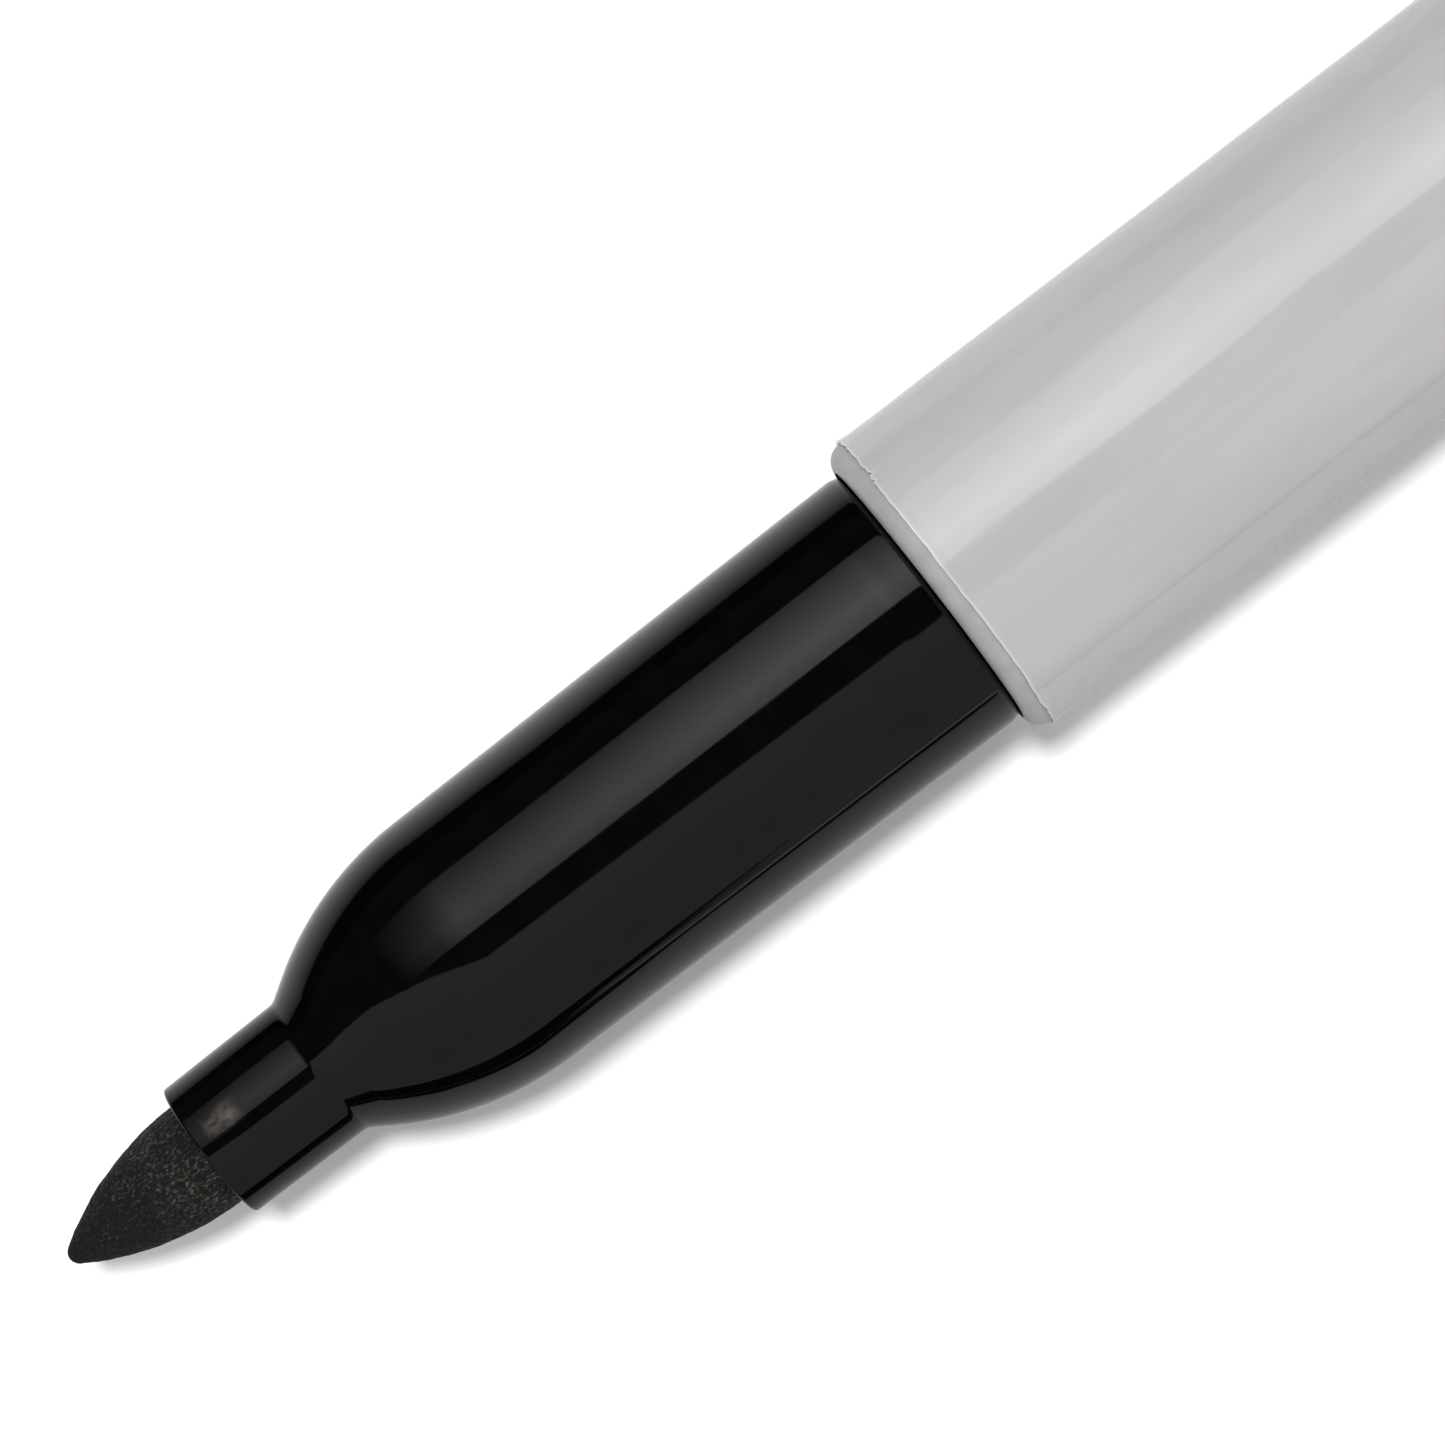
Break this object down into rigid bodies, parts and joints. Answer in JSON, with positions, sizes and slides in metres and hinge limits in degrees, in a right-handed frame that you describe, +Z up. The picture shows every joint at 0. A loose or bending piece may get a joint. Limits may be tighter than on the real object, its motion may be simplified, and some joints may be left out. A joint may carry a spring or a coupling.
{
  "type": "felt tip marker",
  "caption": "Bullet point felt tip permanent marker, uncapped, with its clip cap posted on the tail.",
  "frame": {"origin": "on the desk under the middle of the marker with its cap posted: centre of the bounding box's bottom", "axes": "+X along the marker from the nib towards the posted cap, +Z up from the desk the marker lies on, +Y across it; the marker lies on the boss of its clip, so its own axis dips 1.4 degrees towards the nib"},
  "size_m": [0.1572, 0.012, 0.0143],
  "materials": {
    "black_plastic": "high gloss black polypropylene",
    "grey_plastic": "satin light grey polypropylene",
    "grey_film": "glossy light grey label film",
    "felt": "ink soaked bonded felt",
    "reservoir_fibre": "ink soaked fibre",
    "clear_film": "thin clear wrap",
    "white_tube": "white extruded tube",
    "soft_liner": "soft natural polyethylene"
  },
  "bodies": {
    "marker": {"felt_nib": "felt", "front_section": "black_plastic", "barrel": "grey_plastic", "barrel_film": "grey_film", "reservoir_core": "reservoir_fibre", "reservoir_film": "clear_film", "breather_tube": "white_tube", "rear_plug": "black_plastic"},
    "cap": {"cap_shell": "black_plastic", "cap_liner": "soft_liner"},
    "clip": {"pocket_clip": "black_plastic"}
  },
  "joints": [
    {"name": "cap_pull", "type": "slide", "parent": "marker", "child": "cap", "axis": [0.9997, 0, 0.0248], "range_m": [0, 0.03]},
    {"name": "clip_flex", "type": "hinge", "parent": "cap", "child": "clip", "pos_m": [0.07518, 0, 0.00009], "axis": [0, -1, 0], "range_deg": [0, 6], "stiffness_Nm_per_rad": 1.2}
  ]
}
